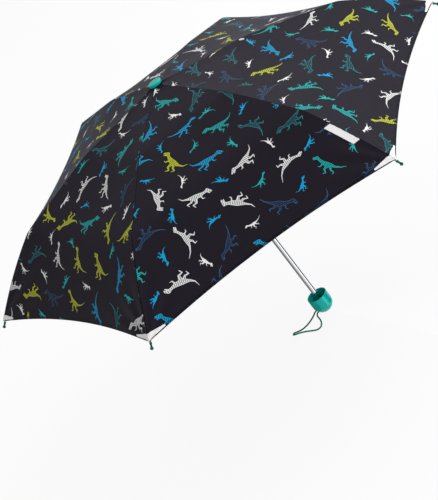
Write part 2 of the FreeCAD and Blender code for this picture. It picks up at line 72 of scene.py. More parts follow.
def direction(turn: float) -> Vector:
    """Horizontal direction at this azimuth, in radians."""
    return Vector((math.cos(turn), math.sin(turn), 0))


# ---------------------------------------------------------------- shader maths

Number = Union[float, "Value"]


class Value:
    """A number socket of a material, which adds Math nodes when it is used in an expression."""

    def __init__(self, graph: "Graph", socket: bpy.types.NodeSocket) -> None:
        """Wraps a socket of the graph."""
        self.graph = graph
        self.socket = socket

    def math(self, operation: str, *others: Number) -> "Value":
        """A Math node of this value and others.

        Args:
            operation: the Math node's operation.
            others: the values of its next sockets.

        Returns:
            The node's result.
        """
        return self.graph.math(operation, self, *others)

    def __add__(self, other: Number) -> "Value":
        """Sum."""
        return self.math("ADD", other)

    __radd__ = __add__

    def __sub__(self, other: Number) -> "Value":
        """Difference."""
        return self.math("SUBTRACT", other)

    def __rsub__(self, other: Number) -> "Value":
        """Reflected difference."""
        return self.graph.math("SUBTRACT", other, self)

    def __mul__(self, other: Number) -> "Value":
        """Product."""
        return self.math("MULTIPLY", other)

    __rmul__ = __mul__

    def __truediv__(self, other: Number) -> "Value":
        """Quotient."""
        return self.math("DIVIDE", other)

    def __abs__(self) -> "Value":
        """Absolute value."""
        return self.math("ABSOLUTE")

    def __lt__(self, other: Number) -> "Value":
        """One where this value is smaller."""
        return self.math("LESS_THAN", other)

    def __gt__(self, other: Number) -> "Value":
        """One where this value is greater."""
        return self.math("GREATER_THAN", other)

    def sine(self) -> "Value":
        """Sine of an angle in radians."""
        return self.math("SINE")

    def least(self, other: Number) -> "Value":
        """The smaller of two values."""
        return self.math("MINIMUM", other)

    def most(self, other: Number) -> "Value":
        """The greater of two values."""
        return self.math("MAXIMUM", other)

    def held(self) -> "Value":
        """This value, held between 0 and 1."""
        return Value(self.graph, self.graph.node("Clamp", sockets={0: self}).outputs[0])

    def inside(self, edge: float) -> "Value":
        """One where this distance is negative, falling to zero over the width of an edge."""
        return self.graph.math("MULTIPLY_ADD", self, -1.0 / edge, 0.5).held()


class Graph:
    """A material's node tree, with one method that adds any node."""

    def __init__(self, name: str) -> None:
        """Makes an empty material of this name with a Principled shader."""
        self.material = bpy.data.materials.new(name)
        self.material.use_nodes = True
        self.tree = self.material.node_tree
        self.shader = self.tree.nodes["Principled BSDF"]

    def node(self, kind: str, settings: Optional[dict] = None,
             sockets: Optional[dict] = None) -> bpy.types.Node:
        """Adds a node.

        Args:
            kind: the node's type, without the ShaderNode in front.
            settings: its properties, and the stops of a ramp as (place, colour) pairs.
            sockets: values or links of its input sockets, by name or number.

        Returns:
            The new node.
        """
        made = self.tree.nodes.new("ShaderNode" + kind)
        for key, value in (settings or {}).items():
            if key == "stops":
                self._set_stops(made.color_ramp, value)
            elif key == "interpolation" and kind == "ValToRGB":
                made.color_ramp.interpolation = value
            else:
                setattr(made, key, value)
        for key, value in (sockets or {}).items():
            self.feed(made.inputs[key], value)
        return made

    @staticmethod
    def _set_stops(ramp: bpy.types.ColorRamp, stops: list) -> None:
        """Gives a ramp its stops."""
        while len(ramp.elements) < len(stops):
            ramp.elements.new(1.0)
        for element, (place, colour) in zip(ramp.elements, stops):
            element.position = place
            element.color = colour

    def feed(self, socket: bpy.types.NodeSocket, value: object) -> None:
        """Links a socket, or sets its value."""
        if isinstance(value, Value):
            self.tree.links.new(value.socket, socket)
        elif isinstance(value, bpy.types.NodeSocket):
            self.tree.links.new(value, socket)
        else:
            socket.default_value = value

    def math(self, operation: str, *values: Number) -> Value:
        """A Math node of some values."""
        made = self.node("Math", {"operation": operation}, dict(enumerate(values)))
        return Value(self, made.outputs[0])

    def vector(self, operation: str, *values: object) -> bpy.types.NodeSocket:
        """The vector that a Vector Math node gives."""
        made = self.node("VectorMath", {"operation": operation}, dict(enumerate(values)))
        return made.outputs["Vector"]

    def scaled(self, vector: object, size: Number) -> bpy.types.NodeSocket:
        """A vector times a number."""
        made = self.node("VectorMath", {"operation": "SCALE"}, {"Vector": vector, "Scale": size})
        return made.outputs["Vector"]

    def measure(self, operation: str, *values: object) -> Value:
        """The number that a Vector Math node gives."""
        made = self.node("VectorMath", {"operation": operation}, dict(enumerate(values)))
        return Value(self, made.outputs["Value"])

    def chances(self, number: bpy.types.NodeSocket) -> tuple:
        """Three random numbers for each cell."""
        made = self.node("TexWhiteNoise", sockets={0: number})
        split = self.node("SeparateColor", sockets={0: made.outputs[1]})
        return tuple(Value(self, output) for output in split.outputs)

    def parts(self, vector: bpy.types.NodeSocket) -> tuple:
        """The three numbers of a vector."""
        made = self.node("SeparateXYZ", sockets={0: vector})
        return tuple(Value(self, output) for output in made.outputs)

    def join(self, x: Number, y: Number, z: Number = 0.0) -> bpy.types.NodeSocket:
        """A vector of three numbers."""
        return self.node("CombineXYZ", sockets={0: x, 1: y, 2: z}).outputs[0]

    def mix(self, share: Number, first: object, second: object) -> bpy.types.NodeSocket:
        """A colour between two."""
        made = self.node("Mix", {"data_type": "RGBA"},
                         {0: share, 6: first, 7: second})
        return made.outputs[2]

    def noise(self, where: bpy.types.NodeSocket, scale: float, detail: float = 2.0) -> Value:
        """Soft noise from 0 to 1."""
        made = self.node("TexNoise", sockets={"Vector": where, "Scale": scale, "Detail": detail})
        return Value(self, made.outputs[0])

    def place(self) -> bpy.types.NodeSocket:
        """Object coordinates, in metres."""
        return self.node("TexCoord").outputs["Object"]

    def layer(self, name: str) -> bpy.types.NodeSocket:
        """A named UV layer's coordinates, in metres."""
        return self.node("UVMap", {"uv_map": name}).outputs["UV"]

    def bump(self, height: Value, distance: float, strength: float = 1.0) -> None:
        """Feeds the shader's normal from a height."""
        made = self.node("Bump", sockets={"Height": height, "Distance": distance,
                                          "Strength": strength})
        self.feed(self.shader.inputs["Normal"], made.outputs[0])

    def set(self, **sockets: object) -> None:
        """Sets or links the shader's own sockets, with _ for each space of their names."""
        for key, value in sockets.items():
            self.feed(self.shader.inputs[key.replace("_", " ")], value)


def shade(red: int, green: int, blue: int) -> tuple:
    """Linear colour of an 8 bit screen colour."""
    def linear(part: int) -> float:
        """One part of it."""
        share = part / 255
        return share / 12.92 if share <= 0.04045 else ((share + 0.055) / 1.055) ** 2.4
    return linear(red), linear(green), linear(blue), 1.0


# ---------------------------------------------------------------- print

@dataclass(frozen=True)
class Limb:
    """One tapered stroke of a printed animal, in shares of the animal's length."""

    start: tuple
    end: tuple
    thick: tuple


RUNNER_SHAPE = (
    Limb((-.50, .13), (-.36, .05), (.004, .011)),
    Limb((-.36, .05), (-.20, .015), (.011, .024)),
    Limb((-.20, .015), (-.02, .03), (.024, .062)),
    Limb((-.02, .03), (.13, .065), (.062, .052)),
    Limb((.13, .065), (.25, .145), (.050, .028)),
    Limb((.25, .145), (.33, .215), (.028, .036)),
    Limb((.33, .215), (.43, .205), (.038, .018)),
    Limb((.33, .185), (.42, .165), (.018, .008)),
    Limb((.01, .01), (.08, -.10), (.050, .022)),
    Limb((.08, -.10), (.02, -.19), (.020, .011)),
    Limb((.02, -.19), (.09, -.225), (.011, .007)),
    Limb((-.05, .01), (-.10, -.10), (.042, .020)),
    Limb((-.10, -.10), (-.19, -.14), (.018, .010)),
    Limb((-.19, -.14), (-.16, -.20), (.011, .006)),
    Limb((.16, .03), (.20, -.035), (.018, .010)),
    Limb((.20, -.035), (.255, -.03), (.010, .006)),
)

GRAZER_SHAPE = (
    Limb((-.50, -.06), (-.38, -.10), (.004, .012)),
    Limb((-.38, -.10), (-.24, -.06), (.012, .028)),
    Limb((-.24, -.06), (-.06, .02), (.028, .075)),
    Limb((-.06, .02), (.08, .11), (.075, .062)),
    Limb((.08, .11), (.17, .20), (.055, .034)),
    Limb((.17, .20), (.22, .27), (.032, .044)),
    Limb((.22, .28), (.35, .275), (.046, .022)),
    Limb((.23, .24), (.33, .215), (.022, .010)),
    Limb((-.03, .0), (.05, -.12), (.060, .026)),
    Limb((.05, -.12), (-.02, -.21), (.024, .013)),
    Limb((-.02, -.21), (.07, -.25), (.013, .008)),
    Limb((-.10, -.03), (-.10, -.14), (.050, .022)),
    Limb((-.10, -.14), (-.19, -.22), (.020, .012)),
    Limb((-.19, -.22), (-.11, -.255), (.012, .007)),
    Limb((.12, .07), (.19, .02), (.020, .011)),
    Limb((.19, .02), (.24, .05), (.010, .006)),
)

PRINT_COLOURS = (
    (0.00, shade(198, 204, 46)),
    (0.24, shade(240, 242, 240)),
    (0.44, shade(8, 162, 216)),
    (0.58, shade(26, 176, 174)),
    (0.69, shade(36, 146, 154)),
    (0.84, shade(52, 96, 138)),
)


@dataclass(frozen=True)
class AnimalPrint:
    """Two sizes of small running lizards scattered over the cloth, each in one colour."""

    pitch: float = 0.066
    small_reach: float = 0.265
    small_share: float = 0.95
    outline_from: float = 0.69
    edge: float = 0.0004
    line: float = 0.00065
    least_length: float = 0.84
    more_length: float = 0.12
    small_shorter: float = 0.42
    small_even: float = 0.02
    bow: float = 0.9
    grazers_from: float = 0.52
    inner_from: float = 0.0008
    bar_slant: float = 0.6
    bar_turns: float = 112.0
    bar_from: float = 0.1
    bar_share: float = 0.8
    spot_turns: float = 96.0
    spot_from: float = 0.55
    spot_share: float = 0.6
    small_tint: tuple = (0.24, 0.54)
    ink: float = 0.94
    small_draw: tuple = (500.0, 300.0, 0)
    second_draw: tuple = (37.0, 11.0, 0)

    def distance(self, graph: Graph, point: bpy.types.NodeSocket, shape: tuple) -> Value:
        """Distance from a point to an animal's edge, negative inside, in shares of its length.

        Args:
            graph: the material's graph.
            point: the place in the animal's own frame.
            shape: its limbs.

        Returns:
            The signed distance.
        """
        nearest = None
        for limb in shape:
            start, end = Vector((*limb.start, 0)), Vector((*limb.end, 0))
            run = end - start
            offset = graph.vector("SUBTRACT", point, start)
            share = graph.measure("DOT_PRODUCT", offset, run / run.length_squared).held()
            gap = graph.measure("DISTANCE", offset, graph.scaled(run, share))
            taper = limb.thick[0] - limb.thick[1]
            gap = graph.math("MULTIPLY_ADD", share, taper, gap) - limb.thick[0]
            nearest = gap if nearest is None else nearest.least(gap)
        return nearest

    def cells(self, graph: Graph, place: bpy.types.NodeSocket) -> tuple:
        """Splits the cloth into places for large animals, with small ones at their corners.

        Args:
            graph: the material's graph.
            place: the cloth's flat coordinates in metres.

        Returns:
            The cell's number, the place in it in pitches, and one where it is a small one.
        """
        scaled = graph.scaled(place, 1 / self.pitch)
        number = graph.vector("FLOOR", scaled)
        middle = (0.5, 0.5, 0)
        local = graph.vector("SUBTRACT", graph.vector("SUBTRACT", scaled, number), middle)
        moved = graph.vector("ADD", scaled, middle)
        small_number = graph.vector("FLOOR", moved)
        small_local = graph.vector("SUBTRACT", graph.vector("SUBTRACT", moved, small_number),
                                   middle)
        chance = Value(graph, graph.node("TexWhiteNoise", sockets={0: small_number}).outputs[0])
        near = graph.measure("LENGTH", small_local) < self.small_reach
        small = near * (chance < self.small_share)
        far_number = graph.vector("ADD", small_number, self.small_draw)
        return self.pick(graph, small, number, far_number), self.pick(
            graph, small, local, small_local), small

    @staticmethod
    def pick(graph: Graph, share: Value, first: bpy.types.NodeSocket,
             second: bpy.types.NodeSocket) -> bpy.types.NodeSocket:
        """One of two vectors."""
        made = graph.node("Mix", {"data_type": "VECTOR"}, {0: share, 4: first, 5: second})
        return made.outputs[1]

    def paint(self, graph: Graph, place: bpy.types.NodeSocket) -> tuple:
        """The print's colour and how much of it covers the cloth.

        Args:
            graph: the material's graph.
            place: the cloth's flat coordinates in metres.

        Returns:
            The colour's socket and the cover's value.
        """
        number, local, small = self.cells(graph, place)
        turn, size, tint = graph.chances(number)
        bend, kind, flip = graph.chances(graph.vector("ADD", number, self.second_draw))
        spun = graph.node("VectorRotate", {"rotation_type": "Z_AXIS"},
                          {"Vector": local, "Angle": turn * (2 * math.pi)}).outputs[0]
        large = size * self.more_length + self.least_length
        length = large + small * (size * -self.small_even - self.small_shorter)
        x, y, _ = graph.parts(spun)
        side = (flip > 0.5) * 2 - 1
        x = x * side / length
        y = y / length
        y = y - (bend - 0.5) * x * x * self.bow
        point = graph.join(x, y)
        runner = self.distance(graph, point, RUNNER_SHAPE)
        grazer = self.distance(graph, point, GRAZER_SHAPE)
        gap = runner + (grazer - runner) * (kind > self.grazers_from)
        metres = gap * length * self.pitch
        solid = metres.inside(self.edge)
        outline = (abs(metres + self.line / 2) - self.line / 2).inside(self.edge)
        tint = tint + small * (self.small_tint[0] - tint * self.small_tint[1])
        only_line = tint > self.outline_from
        bars = ((x + y * self.bar_slant) * self.bar_turns).sine() > self.bar_from
        deep = (metres + self.inner_from) < 0
        marks = 1 - bars * deep * (1 - small) * self.bar_share
        spots = ((x - y) * self.spot_turns).sine() > self.spot_from
        thin = outline.most(solid * spots * deep * self.spot_share)
        cover = solid * marks * (1 - only_line) + thin * only_line
        colour = graph.node("ValToRGB", {"interpolation": "CONSTANT", "stops": PRINT_COLOURS},
                            {0: tint}).outputs[0]
        return colour, cover * self.ink


# ---------------------------------------------------------------- finishes

@dataclass(frozen=True)
class ClothFinish:
    """Tightly woven polyester, charcoal with a violet tint."""

    ground: tuple = shade(31, 25, 31)
    thread: tuple = shade(5, 4, 7)
    weave: float = 0.00045
    roughness: float = 0.6
    hem: float = 0.0050
    hem_edge: float = 0.0005
    seam: float = 0.0009
    seam_edge: float = 0.0006
    stitch: float = 0.0026
    stitch_half: float = 0.0003
    stitch_edge: float = 0.0004
    stitch_from: float = -0.3
    faded: float = 0.82
    mottle: float = 90.0
    crumple: float = 28.0
    relief: float = 0.0011
    sheen: tuple = shade(150, 155, 225)
    gloss_tint: tuple = (0.6, 0.66, 1.0, 1.0)

    def make(self, name: str, printed: bool) -> bpy.types.Material:
        """The cloth's material.

        Args:
            name: the material's name.
            printed: whether this is the side with the animals on it.

        Returns:
            The material.
        """
        graph = Graph(name)
        place = graph.layer("flat")
        from_seam, from_hem, _ = graph.parts(graph.layer("edges"))
        mottle = graph.noise(place, self.mottle, 4.0)
        faded = tuple(part * self.faded for part in self.ground)
        ground = graph.mix(mottle, faded, self.ground)
        if printed:
            colour, cover = AnimalPrint().paint(graph, place)
            ground = graph.mix(cover, ground, colour)
        seam = (from_seam - self.seam).inside(self.seam_edge)
        turned = (abs(from_hem - self.hem) - self.stitch_half).inside(self.stitch_edge)
        dashes = (from_seam * (2 * math.pi / self.stitch)).sine() > self.stitch_from
        stitch = turned * dashes
        edge = (from_hem - self.hem).inside(self.hem_edge)
        dark = seam.most(edge * 0.55).most(stitch * 0.5)
        graph.set(Base_Color=graph.mix(dark, ground, self.thread),
                  Roughness=mottle * 0.1 + (self.roughness - 0.05))
        across, along, _ = graph.parts(place)
        pitch = 2 * math.pi / self.weave
        weave = (across * pitch).sine() * (along * pitch).sine()
        crumple = graph.noise(place, self.crumple, 3.0)
        height = weave * 0.02 + crumple * 0.9 + turned * -0.12 + seam * -0.25
        graph.bump(height, self.relief, 0.45)
        graph.set(Sheen_Weight=0.035, Sheen_Roughness=0.4, Sheen_Tint=self.sheen,
                  Specular_IOR_Level=0.16, Specular_Tint=self.gloss_tint)
        return graph.material


@dataclass(frozen=True)
class TapeFinish:
    """White ribbed tape, with stitches round its border, and painted shade in stripes, one for each
    of its ribs.
    """

    colour: tuple = shade(248, 248, 247)
    thread: tuple = shade(196, 198, 202)
    rib: float = 0.0008
    stitch: float = 0.0022
    stitch_in: float = 0.0013
    stitch_half: float = 0.0002
    stitch_edge: float = 0.0003
    stitch_from: float = -0.2
    # painted shade: how much each stripe over the tape's ribs is darkened towards the thread colour
    rib_shadow: float = 0.12
    relief: float = 0.0002

    def make(self, name: str) -> bpy.types.Material:
        """The tape's material."""
        graph = Graph(name)
        across, along, _ = graph.parts(graph.layer("flat"))
        from_edge, _, _ = graph.parts(graph.layer("edges"))
        ribs = (along * (2 * math.pi / self.rib)).sine()
        stitches = (abs(from_edge - self.stitch_in) - self.stitch_half).inside(self.stitch_edge)
        dashes = ((across + along) * (2 * math.pi / self.stitch)).sine() > self.stitch_from
        # grey stitch thread, together with painted shade in stripes over the ribs; both are mixed
        # towards the thread colour
        shadow = (stitches * dashes).most((ribs * 0.5 + 0.5) * self.rib_shadow)
        wear = graph.noise(graph.layer("flat"), 160.0, 3.0)
        graph.set(Base_Color=graph.mix(shadow, self.colour, self.thread),
                  Roughness=wear * 0.15 + 0.55)
        graph.bump(ribs * 0.3 + wear * 0.5 - stitches, self.relief, 0.5)
        return graph.material


@dataclass(frozen=True)
class ThreadFinish:
    """Black sewing thread."""

    colour: tuple = shade(30, 28, 34)
    dark: tuple = shade(10, 9, 12)

    def make(self, name: str) -> bpy.types.Material:
        """The thread's material."""
        graph = Graph(name)
        fuzz = graph.noise(graph.place(), 2400.0, 3.0)
        graph.set(Base_Color=graph.mix(fuzz, self.dark, self.colour), Roughness=fuzz * 0.2 + 0.6)
        graph.bump(fuzz, 0.0001, 0.5)
        return graph.material


@dataclass(frozen=True)
class PlasticFinish:
    """Glossy moulded plastic with a fine flow in its colour and rubbed, duller patches."""

    colour: tuple
    roughness: float = 0.16
    coat: float = 0.25
    gloss: float = 0.5
    gloss_tint: tuple = (1.0, 1.0, 1.0, 1.0)
    grain: float = 260.0
    flow: float = 45.0
    shaded: float = 0.86

    def make(self, name: str) -> bpy.types.Material:
        """The plastic's material."""
        graph = Graph(name)
        place = graph.place()
        flow = graph.noise(place, self.flow, 3.0)
        rub = graph.noise(place, self.grain, 4.0)
        deep = tuple(part * self.shaded for part in self.colour[:3]) + (1.0,)
        graph.set(Base_Color=graph.mix(flow, self.colour, deep),
                  Roughness=rub * 0.10 + (self.roughness - 0.04))
        graph.bump(rub, 0.00008, 0.35)
        graph.set(Specular_IOR_Level=self.gloss, Specular_Tint=self.gloss_tint,
                  Coat_Weight=self.coat, Coat_Roughness=0.05)
        return graph.material


@dataclass(frozen=True)
class MetalFinish:
    """Drawn metal with fine lines along its length."""

    colour: tuple
    roughness: float = 0.12
    stretch: tuple = (900.0, 900.0, 14.0)
    cloud: float = 60.0
    dulled: float = 0.85

    def make(self, name: str) -> bpy.types.Material:
        """The metal's material."""
        graph = Graph(name)
        lines = graph.node("Mapping", sockets={"Vector": graph.place(), "Scale": self.stretch})
        drawn = graph.noise(lines.outputs[0], 1.0, 3.0)
        cloud = graph.noise(graph.place(), self.cloud, 2.0)
        dull = tuple(part * self.dulled for part in self.colour[:3]) + (1.0,)
        graph.set(Base_Color=graph.mix(cloud, self.colour, dull), Metallic=1.0,
                  Roughness=drawn * 0.10 + cloud * 0.05 + (self.roughness - 0.06))
        graph.bump(drawn, 0.00003, 0.4)
        return graph.material


@dataclass(frozen=True)
class CordFinish:
    """Braided cord."""

    colour: tuple = shade(0, 150, 122)
    dark: tuple = shade(0, 98, 80)
    braid: float = 0.0016

    def make(self, name: str) -> bpy.types.Material:
        """The cord's material."""
        graph = Graph(name)
        x, y, z = graph.parts(graph.place())
        pitch = 2 * math.pi / self.braid
        strands = ((x + y) * pitch).sine() * ((x - y + z) * pitch).sine()
        fuzz = graph.noise(graph.place(), 900.0, 2.0)
        share = (strands * 0.5 + 0.5) * 0.6 + fuzz * 0.4
        graph.set(Base_Color=graph.mix(share, self.dark, self.colour),
                  Roughness=fuzz * 0.2 + 0.55, Specular_IOR_Level=0.2)
        graph.bump(share, 0.0003, 0.6)
        return graph.material


# ---------------------------------------------------------------- cloth

class Section(Enum):
    """The three lengths of a folding rib, and the cloth over each."""

    INNER = "inner"
    MIDDLE = "middle"
    OUTER = "outer"


class Side(Enum):
    """Which side of a rib a half gore lies on, seen from outside with the tip below."""

    BEFORE = -1
    AFTER = 1


@dataclass
class RibLine:
    """The line that the cloth follows over a rib, in the rib's own plane.

    It is a table of (radius, height) against the length along it, in two versions: close over
    the rib's hinges, and smoothed as the cloth between two ribs bridges them.
    """

    lift: float = 0.0029
    hole: float = 0.0062
    over_crown: float = 0.0017
    crown_edge: float = 0.0130
    edge_drop: float = 0.0003
    inner_from: float = 0.16
    bend: float = math.radians(12.0)
    arc_points: int = 41
    knee_points: int = 4
    drawn_out: int = 3
    ball: float = 0.0028
    hem_before_ball: float = 0.0095
    step: float = 0.001
    close: float = 4.0
    bridged: float = 26.0
    tails: int = 4
    clear: float = 0.0006
    ramp: float = 0.05
    points: np.ndarray = field(init=False)

    def __post_init__(self) -> None:
        """Works the tables out from the joints' places."""
        crown, elbow, knee = (self.flat(joint_place(f"{name}_0"))
                              for name in ("crown_pivot", "elbow", "knee"))
        low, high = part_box("rib_tip_0")
        self.crown, self.elbow, self.knee = crown, elbow, knee
        self.tip = np.array((high.x - self.ball, low.z + self.ball))
        under_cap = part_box("crown")[1].z + self.over_crown
        outer = self.outer_arc()
        inner_way, middle_way = elbow - crown, knee - elbow
        corners = [
            np.array((self.hole, under_cap)),
            np.array((self.crown_edge, under_cap - self.edge_drop)),
            crown + inner_way * self.inner_from + self.normal(inner_way) * self.lift,
            elbow + self.between(inner_way, middle_way),
            knee + self.between(middle_way, outer[1] - outer[0]),
        ]
        beyond = outer[-1] + (outer[-1] - outer[-2]) * self.drawn_out
        line = np.array(corners + list(outer[self.knee_points:]) + [beyond])
        runs = np.linalg.norm(np.diff(line, axis=0), axis=1)
        lengths = np.concatenate(([0], np.cumsum(runs)))
        self.at_elbow, self.at_knee, self.total = lengths[3], lengths[4], lengths[-2]
        self.samples = np.arange(0, lengths[-1], self.step)
        self.points = np.stack([np.interp(self.samples, lengths, line[:, axis])
                                for axis in (0, 1)], 1)
        self.close_line = self.smoothed(self.close)
        self.bridged_line = self.smoothed(self.bridged)

    @staticmethod
    def flat(place: Vector) -> np.ndarray:
        """(radius, height) of a place in rib 0's plane."""
        return np.array((place.x, place.z))

    @staticmethod
    def normal(way: np.ndarray) -> np.ndarray:
        """Upward unit normal of a direction in the plane."""
        return np.array((-way[1], way[0])) / np.linalg.norm(way)

    def between(self, first: np.ndarray, second: np.ndarray) -> np.ndarray:
        """Offset of the lifted line's corner between two directions."""
        mean = self.normal(first) + self.normal(second)
        return mean * self.lift / (np.dot(mean, mean) / 2)

    def outer_arc(self) -> np.ndarray:
        """Lifted points of the curved outer rib, from the knee to the hem's corner."""
        chord = self.tip - self.knee
        radius = np.linalg.norm(chord) / 2 / math.sin(self.bend / 2)
        slope = math.atan2(chord[1], chord[0])
        facing = slope - math.pi / 2 + self.bend / 2
        centre = self.knee + radius * np.array((math.cos(facing), math.sin(facing)))
        end = 1 - self.hem_before_ball / (radius * self.bend)
        turns = facing + math.pi - self.bend * np.linspace(0, end, self.arc_points)
        return centre + (radius + self.lift) * np.stack([np.cos(turns), np.sin(turns)], 1)

    def smoothed(self, spread: float) -> np.ndarray:
        """The table blurred along its length by this many steps, with its ends drawn out."""
        reach = int(spread * self.tails)
        start, end = self.points[1] - self.points[0], self.points[-1] - self.points[-2]
        before = self.points[0] - start * np.arange(reach, 0, -1)[:, None]
        after = self.points[-1] + end * np.arange(1, reach + 1)[:, None]
        longer = np.concatenate((before, self.points, after))
        weights = np.exp(-0.5 * (np.arange(-reach, reach + 1) / spread) ** 2)
        weights /= weights.sum()
        return np.stack([np.convolve(longer[:, axis], weights, "valid") for axis in (0, 1)], 1)

    def at(self, along: np.ndarray, slack: np.ndarray) -> tuple:
        """Radius and height of the cloth.

        Args:
            along: lengths along the rib.
            slack: 0 over a rib to 1 halfway between two.

        Returns:
            The radii and the heights.
        """
        found = []
        for axis in (0, 1):
            close = np.interp(along, self.samples, self.close_line[:, axis])
            bridged = np.interp(along, self.samples, self.bridged_line[:, axis])
            found.append(close + (bridged - close) * slack)
        return found[0], found[1] + self.clear * np.clip(along / self.ramp, 0, 1)


@dataclass(frozen=True)
class Creases:
    """The cloth's small folds: puckers at the seams, pulls from the corners and a slow wave."""

    pucker_depth: float = 0.00022
    pucker_pitch: float = 0.011
    pucker_reach: float = 0.006
    pucker_start: float = 0.0015
    pull_depth: float = 0.0011
    pull_count: float = 9
    pull_at: float = 0.05
    pull_start: float = 0.008
    wave_depth: float = 0.0012
    wave_across: float = 2.1
    wave_along: float = 21
    wave_full: float = 0.1
    shifts: tuple = (1.7, 2.3, 1.1)

    def depth(self, gore: int, across: np.ndarray, along: np.ndarray, half: np.ndarray,
              total: float) -> np.ndarray:
        """How deep the folds go, in metres.

        Args:
            gore: number of the gore, which shifts its folds.
            across: from -1 to 1 between its ribs.
            along: lengths from the hole.
            half: half of the chord between the ribs there.
            total: the cloth's length along a rib.

        Returns:
            The depths.
        """
        pull_shift, across_shift, along_shift = (gore * shift for shift in self.shifts)
        from_seam = (1 - np.abs(across)) * half
        turns = along * 2 * math.pi / self.pucker_pitch + gore
        pucker = self.pucker_depth * np.sin(turns) * np.exp(-from_seam / self.pucker_reach)
        pucker *= 1 - np.exp(-from_seam / self.pucker_start)
        from_corner = np.hypot(from_seam, total - along)
        fan = np.arctan2(from_seam, np.maximum(total - along, 1e-6))
        ring = np.exp(-((from_corner - self.pull_at) / self.pull_at) ** 2)
        pull = self.pull_depth * np.sin(fan * self.pull_count + pull_shift) * ring
        pull *= 1 - np.exp(-from_seam / self.pull_start)
        wave = self.wave_depth * np.sin(across * self.wave_across + across_shift)
        wave *= np.sin(along * self.wave_along + along_shift)
        wave *= (1 - across ** 2) ** 2 * np.minimum(half / self.wave_full, 1)
        return pucker + pull + wave


